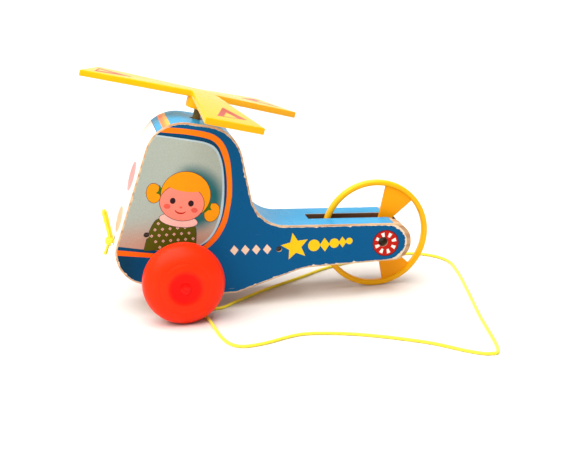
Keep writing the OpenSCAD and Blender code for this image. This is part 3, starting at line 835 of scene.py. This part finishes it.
sideArt = {
    "stripeOuter": [(-70, 146.3), (-20, 136.8), (-1.8, 133.4), (8.4, 131.8), (21.9, 128.8), (29.8, 125.2),
                    (35.0, 119.0), (38.2, 109.0), (39.1, 95.0), (38.6, 83.0), (36.6, 72.3), (33.9, 63.0),
                    (29.0, 54.5), (23.8, 49.0), (18.5, 45.2), (9, 41.2), (-4, 40.6), (-22, 42.9),
                    (-42.7, 46.1), (-70, 50.4)],
    "stripeInner": [(-70, 143.0), (-20, 133.0), (-5.9, 130.1), (8.2, 127.9), (20.4, 124.9), (27.3, 121.8),
                    (31.6, 116.3), (34.4, 106.9), (35.5, 95.1), (35.0, 83.2), (33.3, 73.8), (30.6, 65.0),
                    (26.2, 57.2), (21.0, 51.4), (15.0, 47.0), (6, 44.0), (-5, 43.8), (-21.8, 46.2),
                    (-42.4, 49.9), (-70, 54.6)],
    "rim": [(-70, 141.0), (-20, 130.7), (-8.3, 128.3), (12.5, 123.9), (22.3, 121.3), (28.6, 117.4),
            (32.0, 110.4), (33.5, 101.1), (33.6, 89.3), (32.6, 77.4), (30.6, 68.0), (27.0, 59.6),
            (21.8, 52.6), (15.5, 48.8), (7, 46.6), (-5, 46.4), (-17.1, 47.6), (-23.9, 48.8),
            (-42.3, 52.5), (-70, 58)],
    "window": [(-70, 140.0), (-20, 129.6), (-8.3, 127.2), (1.2, 125.3), (12.4, 122.7), (21.2, 120.4),
               (26.9, 116.8), (29.9, 111.8), (31.9, 103.0), (32.4, 94.0), (31.8, 84.0), (30.2, 74.2),
               (27.4, 64.4), (24.1, 57.9), (19.6, 52.6), (14.6, 49.3), (7, 47.3), (-5, 46.7),
               (-17.1, 47.7), (-23.9, 48.8), (-42.3, 52.5), (-70, 58)],
    # the passenger's head: each feature is an ink, its middle, half sizes, tilt, and its kind
    "head": {"centre": (6.0, 84.6), "tilt": -13.0, "outline": 0.35,
             "behind": [("collar", -1.5, -17.6, 13.4, 4.6, 0, "outlined"),
                        ("hair", -21.6, -1.0, 5.0, 6.8, 12, "outlined"),
                        ("hair", 20.6, -8.6, 5.0, 6.8, -14, "outlined"),
                        ("leafGreen", -16.9, 0.4, 1.9, 5.4, 20, "leaf"),
                        ("leafGreen", -16.9, 0.4, 3.6, 1.9, 20, "leaf"),
                        ("leafGreen", 17.0, -5.6, 1.9, 5.4, -24, "leaf"),
                        ("leafGreen", 17.0, -5.6, 3.6, 1.9, -24, "leaf"),
                        ("hair", 0.4, 0.8, 17.2, 16.6, 0, "outlined"),
                        ("skin", -1.2, -5.0, 15.4, 12.6, 0, "outlined")],
             "face": [("darkLine", -7.8, -4.4, 1.95, 2.2, 0, "plain"),
                      ("cheek", -11.0, -8.8, 2.3, 1.8, 0, "plain"),
                      ("darkLine", 5.0, -4.4, 1.95, 2.2, 0, "plain"),
                      ("cheek", 8.2, -8.8, 2.3, 1.8, 0, "plain"),
                      ("cheek", -1.4, -8.2, 1.0, 0.75, 0, "plain")],
             # two arcs for each: middle, half sizes, tilt, steps, and the angles between which they run
             "fringe": [(0.4, 0.8, 17.2, 16.6, 0, 30, 6, 178), (-1.0, 9.4, 15.6, 6.2, 0, 24, 190, 350)],
             "smile": [(-1.4, -9.6, 4.2, 3.4, 0, 16, 205, 335), (-1.4, -9.3, 4.1, 2.6, 0, 16, 205, 335)]},
    "dress": [(-24.6, 48.0), (-21.5, 57.5), (-18.0, 65.0), (-13.0, 70.0), (-3.0, 68.0), (8.0, 65.5),
              (12.2, 60.5), (11.4, 47.0)],
    "dressDots": {"first": (-34.2, 49.6), "rows": 6, "columns": 12, "spacing": 5.2, "rowSpacing": 4.264,
                  "size": 1.15, "hollow": 0.46, "margin": 1.9},
    "diamonds": {"at": [(38.6, 42.9), (46.4, 42.5), (54.2, 42.1), (62.0, 41.7)], "half": (3.0, 3.7)},
    "star": {"centre": (82.0, 41.9), "outer": 10.4, "inner": 4.7, "turn": 8.0},
    "trail": [("disc", 95.8, 41.6, 4.3), ("diamond", 103.6, 41.5, 4.6), ("disc", 110.6, 42.0, 3.5),
              ("diamond", 116.6, 42.3, 3.7), ("disc", 121.6, 42.7, 2.4)],
    "tailBadge": {"centre": (148.4, 38.8), "radius": 9.3, "line": 0.5, "ticks": 8, "from": 4.7, "to": 7.9,
                  "widths": (0.75, 1.35)},
}


def diamond(u, v, halfWidth, halfHeight, tilt=0.0):
    return ellipse(u, v, halfWidth, halfHeight, tilt, 4)


def inside(point, loop):
    # whether a point lies in a loop
    odd = False
    for a, b in zip(loop, loop[1:] + loop[:1]):
        if (a[1] > point[1]) != (b[1] > point[1]):
            if point[0] < a[0] + (point[1] - a[1]) * (b[0] - a[0]) / (b[1] - a[1]):
                odd = not odd
    return odd


def passengerShapes():
    # a plain round-faced passenger: cap of hair with two bunches, dot eyes, collar and dotted dress
    head = sideArt["head"]
    turn = Matrix.Rotation(math.radians(head["tilt"]), 2)
    thin = head["outline"]
    shapes = []

    def addToHead(ink, loop):
        shapes.append((ink, [Vector(head["centre"]) + turn @ Vector(p) for p in loop]))

    def addFeatures(features):
        for ink, u, v, width, height, tilt, kind in features:
            if kind == "outlined":
                addToHead("darkLine", ellipse(u, v, width + thin, height + thin, tilt))
            addToHead(ink, ellipse(u, v, width, height, tilt, 4 if kind == "leaf" else 40))

    dress = smoothLine(sideArt["dress"], 4)
    middle = sum(dress, Vector((0, 0))) / len(dress)
    shapes += [("darkLine", [p + (p - middle).normalized() * thin for p in dress]), ("mossGreen", dress)]
    dots = sideArt["dressDots"]
    margin = dots["margin"]
    for row in range(dots["rows"]):
        for column in range(dots["columns"]):
            u = dots["first"][0] + (column + (row % 2) / 2) * dots["spacing"]
            v = dots["first"][1] + row * dots["rowSpacing"]
            if all(inside((u + du, v + dv), dress) for du, dv in
                   ((margin, 0), (-margin, 0), (0, margin), (0, -margin))):
                shapes.append(("collar", diamond(u, v, dots["size"], dots["size"])))
                shapes.append(("mossGreen", diamond(u, v, dots["hollow"], dots["hollow"])))
    addFeatures(head["behind"])
    over, under = head["fringe"]
    addToHead("hair", ellipse(*over) + ellipse(*under))
    addFeatures(head["face"])
    low, high = head["smile"]
    addToHead("red", ellipse(*low) + ellipse(*high)[::-1])
    return shapes


def sideShapes():
    shapes = [(ink, smoothLine(sideArt[key])) for ink, key in (("orange", "stripeOuter"),
              ("bandBlue", "stripeInner"), ("rimWhite", "rim"), ("window", "window"))]
    shapes += passengerShapes()
    width, height = sideArt["diamonds"]["half"]
    shapes += [("cream", diamond(u, v, width, height)) for u, v in sideArt["diamonds"]["at"]]
    star = sideArt["star"]
    points = []
    for k in range(10):
        angle = math.radians(90 + star["turn"] + 36 * k)
        reach = star["inner"] if k % 2 else star["outer"]
        points.append(Vector((star["centre"][0] + reach * math.cos(angle),
                              star["centre"][1] + reach * math.sin(angle))))
    shapes.append(("yellow", points))
    for kind, u, v, size in sideArt["trail"]:
        loop = ellipse(u, v, size, size, 0, 28) if kind == "disc" else diamond(u, v, size * 0.8, size * 1.1)
        shapes.append(("yellow", loop))
    badge = sideArt["tailBadge"]
    centre, radius = Vector(badge["centre"]), badge["radius"]
    shapes.append(("darkLine", ellipse(*centre, radius + badge["line"], radius + badge["line"], 0, 48)))
    shapes.append(("red", ellipse(*centre, radius, radius, 0, 48)))
    for k in range(badge["ticks"]):
        turn = Matrix.Rotation(2 * math.pi * (k + 0.35) / badge["ticks"], 2)
        narrow, wide = badge["widths"]
        shapes.append(("screenWhite", [centre + turn @ Vector(p) for p in (
            (badge["from"], -narrow), (badge["to"], -wide), (badge["to"], wide), (badge["from"], narrow))]))
    return shapes


def makeSidePrint(name, node, side):
    loops, reach = flatLoops(node, side)
    outline = wornLoop(loops[0], edgeWear, edgeWear["seed"] + side)
    inked = wornLoop(loops[0], inkWear, inkWear["seed"] + side)
    sheet, inkNames = cutSheet(outline, [("deepBlue", inked)] + sideShapes(), loops[1:], [],
                               lambda u, v: Vector((u * mm, side * reach, v * mm)), side > 0)
    low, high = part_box(node)
    makeSheetPiece(name, sheet, inkNames, "paperCore", high.y - low.y, "body", [node])


makeSidePrint("nearSidePrint", "near_side_print", -1)
makeSidePrint("farSidePrint", "far_side_print", 1)


stripArt = {
    "thickness": 0.3, "fray": 0.25, "frayStep": 2.0, "bleed": 2.0,
    # the strip starts ahead of one X and ends above one Z on the body's outline
    "startAhead": -20.0, "endAbove": 45.0,
    # places along the body's edge, as (x, z) of the nearest point of its outline
    "noseTop": (-43.8, 46.4), "screenTop": (-9.7, 129.7), "screenLine": 0.5,
    "bandLow": (-5.9, 131.8), "bandHigh": (-1.0, 135.0),
    "ovals": [("pink", (-28.0, 94.6), 5.5, (10.5, 14.0)), ("paleOrange", (-38.5, 64.5), 4.0, (9.0, 15.0))],
    "shaftHole": ((19.1, 133.6), (4.3, 4.3)), "cordHole": ((-43.6, 50.2), (3.4, 2.9)),
    "slotFront": (95.6, 54.8), "slotHalf": 7.0,
}


def rimUnderStrip(low, high):
    # the board's edge from under the nose, over the roof, to the tail's end, in millimetres
    board = counterClockwise(flatLoops("near_side_board", -1)[0][0])[::-1]
    ahead = [i for i, point in enumerate(board) if point.x <= stripArt["startAhead"]]
    start = min(ahead, key=lambda i: abs(board[i].y - low.z / mm))
    board = board[start:] + board[:start]
    above = [i for i, point in enumerate(board) if point.y >= stripArt["endAbove"]]
    return board[:min(above, key=lambda i: abs(board[i].x - high.x / mm)) + 1]


def makeEdgePrint():
    art = stripArt
    low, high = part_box("edge_print")
    path = rimUnderStrip(low, high)
    distance = [0.0]
    for a, b in zip(path, path[1:]):
        distance.append(distance[-1] + (b - a).length)
    outward = []
    for i in range(len(path)):
        along = (path[min(i + 1, len(path) - 1)] - path[max(i - 1, 0)]).normalized()
        outward.append(Vector((-along.y, along.x)))

    def alongPath(point):
        # distance along the strip of the place nearest to a point
        best = (1e9, 0.0)
        for i, (a, b) in enumerate(zip(path, path[1:])):
            share = max(0.0, min(1.0, (Vector(point) - a).dot(b - a) / (b - a).length_squared))
            best = min(best, ((a.lerp(b, share) - Vector(point)).length,
                              distance[i] + share * (distance[i + 1] - distance[i])))
        return best[1]

    def place(s, y):
        # a point of the flat strip, laid on the body's edge
        i = 0
        while i < len(path) - 2 and distance[i + 1] < s:
            i += 1
        share = max(0.0, min(1.0, (s - distance[i]) / (distance[i + 1] - distance[i])))
        spot = path[i].lerp(path[i + 1], share)
        spot += outward[i].lerp(outward[i + 1], share) * art["thickness"]
        return Vector((spot.x * mm, y * mm, spot.y * mm))

    half, total = high.y / mm, distance[-1]
    draw = random.Random(edgeWear["seed"])

    def frayedEdge(y, inward):
        points, chip = [], 0.0
        for k in range(1, int(total / art["frayStep"])):
            if draw.random() < edgeWear["chipChance"]:
                chip = draw.uniform(0.3, 1.0)
            points.append(Vector((k * art["frayStep"], y + inward * (art["fray"] * draw.random() + chip))))
            chip = max(0.0, chip * 0.45 - 0.08)
        return points

    wide = half + art["bleed"]

    def band(start, end, edge=wide):
        return [Vector((start, -edge)), Vector((end, -edge)), Vector((end, edge)), Vector((start, edge))]

    outline = ([Vector((0, -half))] + frayedEdge(-half, 1) + [Vector((total, -half)), Vector((total, half))]
               + frayedEdge(half, -1)[::-1] + [Vector((0, half))])
    noseTop, screenTop = alongPath(art["noseTop"]), alongPath(art["screenTop"])
    shapes = [("deepBlue", band(-1, noseTop)), ("screenWhite", band(noseTop, screenTop))]
    shapes += [(ink, ellipse(alongPath(at), y, *size)) for ink, at, y, size in art["ovals"]]
    shapes.append(("bandBlue", band(screenTop - art["screenLine"], screenTop)))
    shapes.append(("crossBand", band(alongPath(art["bandLow"]), alongPath(art["bandHigh"]))))
    holes = [ellipse(alongPath(art[key][0]), 0, *art[key][1], 0, count)
             for key, count in (("shaftHole", 32), ("cordHole", 28))]
    holes.append(band(alongPath(art["slotFront"]), total + 5, art["slotHalf"]))
    folds = [((s, -wide), (s, wide)) for s in distance[1:-1]]
    sheet, inkNames = cutSheet(outline, shapes, holes, folds, place, False)
    makeSheetPiece("edgePrint", sheet, inkNames, "skyBlue", art["thickness"] * mm, "body",
                   ["edge_print"])


makeEdgePrint()


# wooden boards

boardEdge = {"round": 0.55, "segments": 3}


def makeBoard(name, node, side):
    # the board with its outer rim rounded over, as handling leaves it
    shape = copyOf(node)
    bmesh.ops.dissolve_limit(shape, angle_limit=0.01, verts=shape.verts, edges=shape.edges)
    reach = max(v.co.y * side for v in shape.verts)
    rim = [e for e in shape.edges if e.is_manifold and e.calc_face_angle(0) > 0.8
           and all(v.co.y * side > reach - 1e-5 for v in e.verts)]
    roundEdges(shape, rim, boardEdge["round"], boardEdge["segments"])
    bmesh.ops.triangulate(shape, faces=[f for f in shape.faces if len(f.verts) > 4])
    finishPiece(name, shape, [finishes["wood"]], "body", [node], 25)


makeBoard("nearBoard", "near_side_board", -1)
makeBoard("farBoard", "far_side_board", 1)


# front wheels

wheelShape = {"radius": 28.5, "width": 31.0, "balloon": 2.4, "hubRadius": 6.0, "hubLip": 1.2,
              "bore": 2.05, "dishRadius": 11.5, "dishDepth": 1.5, "partingDepth": 0.10, "steps": 128,
              # a shallow moulded ring on the outer face
              "ringRadius": 17.4, "ringWidth": 0.9, "ringDepth": 0.22,
              "capRadius": 3.5, "capHeight": 1.6}


def wheelProfile(w):
    half = w["width"] / 2

    def balloon(angle):
        a = math.radians(angle)
        return (w["radius"] * math.cos(a) ** (2 / w["balloon"]),
                math.copysign(half * abs(math.sin(a)) ** (2 / w["balloon"]), angle))

    profile = [(w["bore"], -half - w["hubLip"]), (w["hubRadius"] - 0.4, -half - w["hubLip"]),
               (w["hubRadius"], -half - w["hubLip"] + 0.4), (w["hubRadius"], -half + 0.5)]
    dishEdge = w["dishRadius"] + 1.0
    ring, share = w["ringRadius"], w["ringWidth"] / 2
    angles = [-84 + 4 * k for k in range(43)]
    ringMade = False
    for angle in angles:
        r, h = balloon(angle)
        if angle > 0 and abs(r - ring) < 1.4:
            continue
        if angle > 0 and r < ring and not ringMade:
            for place, depth in ((share + 0.5, 0), (share, 1), (-share, 1), (-share - 0.5, 0)):
                surface = half * (1 - ((ring + place) / w["radius"]) ** w["balloon"]) ** (1 / w["balloon"])
                profile.append((ring + place, surface - depth * w["ringDepth"]))
            ringMade = True
        if angle < 0 and r > w["hubRadius"] + 0.6 or angle >= 0 and r > dishEdge:
            groove = w["partingDepth"] if angle == 0 else 0.0
            if angle == 0:
                profile.append((r, -0.14))
            profile.append((r - groove, h))
            if angle == 0:
                profile.append((r, 0.14))
    floor = half - w["dishDepth"]
    profile += [(w["dishRadius"] + 0.3, floor + 0.62), (w["dishRadius"] - 0.6, floor + 0.32),
                (w["dishRadius"] - 1.8, floor + 0.10), (w["dishRadius"] - 3.2, floor), (w["bore"], floor)]
    return profile


def wheelPlace(node, side):
    # the wheel's middle on the axle, with its profile's height running outwards
    low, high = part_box(node)
    hubFace = low.y if side > 0 else high.y
    middle = hubFace + side * (wheelShape["width"] / 2 + wheelShape["hubLip"]) * mm
    return (Matrix.Translation((frontAxle.x, middle, frontAxle.z))
            @ Matrix.Rotation(math.radians(-90 * side), 4, "X"))


def capProfile(w):
    # a pressed cap with a raised ring, seated in the wheel's dish
    seat = w["width"] / 2 - w["dishDepth"]
    r, top = w["capRadius"], seat + w["capHeight"]
    return [(0, seat), (r, seat), (r, seat + 0.5), (r - 0.25, seat + 1.0), (r - 0.9, top - 0.25),
            (r - 1.6, top - 0.06), (r - 2.1, top - 0.25), (0, top - 0.35)]


def makeFrontWheels(w):
    caps = []
    for name, node, side in (("nearWheel", "near_wheel", -1), ("farWheel", "far_wheel", 1)):
        place = wheelPlace(node, side)
        finishPiece(name, spun(wheelProfile(w), w["steps"], place), [finishes["wheelRed"]], "front_wheels",
                    [node])
        caps.append(spun(capProfile(w), 48, place))
    finishPiece("wheelCaps", joined(caps), [finishes["capRed"]], "front_wheels",
                ["wheel_caps"])


makeFrontWheels(wheelShape)


# rotor

rotorShape = {"top": 126.284, "length": 83.0, "tipWidth": 41.0, "thick": 4.5, "notch": 10.2, "droop": 3.5,
              "phase": 159.0, "blades": 3, "round": 0.7, "bossRadius": 9.5, "bossLength": 8.0,
              "shaftRadius": 2.8, "markThick": 0.08,
              # the marks were stuck on by hand, so each lies a little differently
              "markShift": [(6.5, 1.0), (0, 0), (1.5, -0.5)],
              "mark": [(43.2, 2.4), (72.4, -9.8), (68.6, 12.0)],
              "markHollow": [(57.0, 0.8), (70.2, -4.6), (68.6, 5.6)]}


def shaftFrame():
    # Z along the rotor shaft from its foot, Y across the toy
    across = Vector((0, 1, 0))
    ahead = across.cross(shaftLine).normalized()
    return Matrix.Translation(shaftFoot) @ Matrix((ahead, across, shaftLine)).transposed().to_4x4()


def bladePlate(r):
    # one flat plate with its blades drooping a little, as seen along the shaft
    shape = bmesh.new()
    centre = shape.verts.new((0, 0, 0))
    fall = math.tan(math.radians(r["droop"]))
    share = 360 / r["blades"]
    notchDrop = -fall * r["notch"] * math.cos(math.radians(share / 2))
    notches = []
    for k in range(r["blades"]):
        turn = Matrix.Rotation(math.radians(r["phase"] + share * (k - 0.5)), 4, "Z")
        notches.append(shape.verts.new(turn @ Vector((r["notch"] * mm, 0, notchDrop * mm))))
    for k in range(r["blades"]):
        turn = Matrix.Rotation(math.radians(r["phase"] + share * k), 4, "Z")
        tips = [shape.verts.new(turn @ Vector((r["length"] * mm, side * r["tipWidth"] / 2 * mm,
                                               -fall * r["length"] * mm))) for side in (-1, 1)]
        shape.faces.new((centre, notches[k], tips[0], tips[1], notches[(k + 1) % r["blades"]]))
    return thickened(shape, -r["thick"], r["round"], 4, 0.5)


def makeRotor(r):
    place = shaftFrame() @ Matrix.Translation((0, 0, r["top"] * mm))
    plate = bladePlate(r)
    bmesh.ops.transform(plate, matrix=place, verts=plate.verts)
    b, low, high = r["bossRadius"], -r["thick"] - r["bossLength"], -r["thick"] + 0.4
    boss = spun([(r["shaftRadius"], low), (b - 0.7, low), (b - 0.2, low + 0.2), (b, low + 0.7), (b, high),
                 (r["shaftRadius"], high)], 72, place)
    finishPiece("rotorBlades", joined([plate, boss]), [finishes["rotorYellow"]], "rotor",
                ["rotor"])
    marks = []
    for k, (ahead, aside) in enumerate(r["markShift"]):
        blade = (place @ Matrix.Rotation(math.radians(r["phase"] + 360 / r["blades"] * k), 4, "Z")
                 @ Matrix.Rotation(math.radians(r["droop"]), 4, "Y")
                 @ Matrix.Translation((ahead * mm, aside * mm, r["markThick"] * mm)))
        sheet, inkNames = cutSheet(r["mark"], [], [r["markHollow"]], [],
                                   lambda u, v: blade @ Vector((u * mm, v * mm, 0)), False)
        marks.append(sheet)
    makeSheetPiece("bladeMarks", joined(marks), ["base"], "markRed", (r["markThick"] + 0.02) * mm, "rotor",
                   [])


makeRotor(rotorShape)


# tail wheel

tailShape = {"radius": 40.0, "ringThick": 4.0, "ringWidth": 6.0, "paddleAngle": 37.0, "paddleThick": 3.0,
             "paddles": 3, "phase": 57.0, "hubRadius": 7.0, "hubWidth": 11.8, "bore": 2.05}


def roundedSection(inner, outer, width, innerRound, outerRound, step):
    # the section of a ring or hub about its axle
    return roundedLoop([(inner, -width / 2, innerRound), (outer, -width / 2, outerRound),
                        (outer, width / 2, outerRound), (inner, width / 2, innerRound)], step)


def makeTailWheel(t):
    place = Matrix.Translation(tailAxle) @ Matrix.Rotation(math.radians(90), 4, "X")
    inner = t["radius"] - t["ringThick"]
    ring = spun(roundedSection(inner, t["radius"], t["ringWidth"], 1.7, 1.7, 15), 160, place)
    hub = spun(roundedSection(t["bore"], t["hubRadius"], t["hubWidth"], 0.2, 0.8, 20), 64, place)
    finishPiece("tailRing", joined([ring, hub]), [finishes["ringYellowHighlit"]], "tail_wheel",
                ["tail_wheel"])
    # each paddle runs from inside the hub to inside the ring
    half, root, reach = math.radians(t["paddleAngle"] / 2), t["hubRadius"] - 1.2, inner + 1.0
    outline = [(root, -half)] + [(reach, half * (j / 6 - 1)) for j in range(13)] + [(root, half)]
    outline = [Vector((r * math.cos(angle), r * math.sin(angle))) for r, angle in outline]
    paddles = []
    for k in range(t["paddles"]):
        plate = slab(outline, t["paddleThick"], 0.45)
        turn = Matrix.Rotation(math.radians(t["phase"] + 360 / t["paddles"] * k), 4, "Z")
        bmesh.ops.transform(plate, matrix=place @ turn, verts=plate.verts)
        paddles.append(plate)
    finishPiece("tailPaddles", joined(paddles), [finishes["paddleYellowShaded"]], "tail_wheel",
                [])


makeTailWheel(tailShape)


# finishes of the parts that keep their own shape

# the tail axle takes dark steel so its end shows painted shade, as dark as its shaded recess
keptFinishes = {"core_board": "wood", "assembly_pins": "darkSteelAndShade", "front_axle": "steel",
                "axle_washers": "steel", "drive_roller": "rubber", "friction_disc": "discPlastic",
                "rotor_shaft": "shaftShadedYellow", "lower_bush": "brass", "roof_bush": "brass",
                "tail_axle": "darkSteelAndShade", "tail_washers": "steel", "tail_nail": "darkSteelAndShade"}
for node, finish in keptFinishes.items():
    mesh = frame["nodes"][node].data
    mesh.materials.clear()
    mesh.materials.append(finishes[finish])
print("kept parts finished:", len(keptFinishes))


# floor

def makeFloor():
    shape = bmesh.new()
    bmesh.ops.create_grid(shape, x_segments=2, y_segments=2, size=20)
    mesh = bpy.data.meshes.new("floor")
    shape.to_mesh(mesh)
    shape.free()
    mesh.materials.append(principled("paleFloor", Base_Color=(0.74, 0.70, 0.655, 1), Roughness=0.55)[0])
    addObject("floor", mesh)


makeFloor()
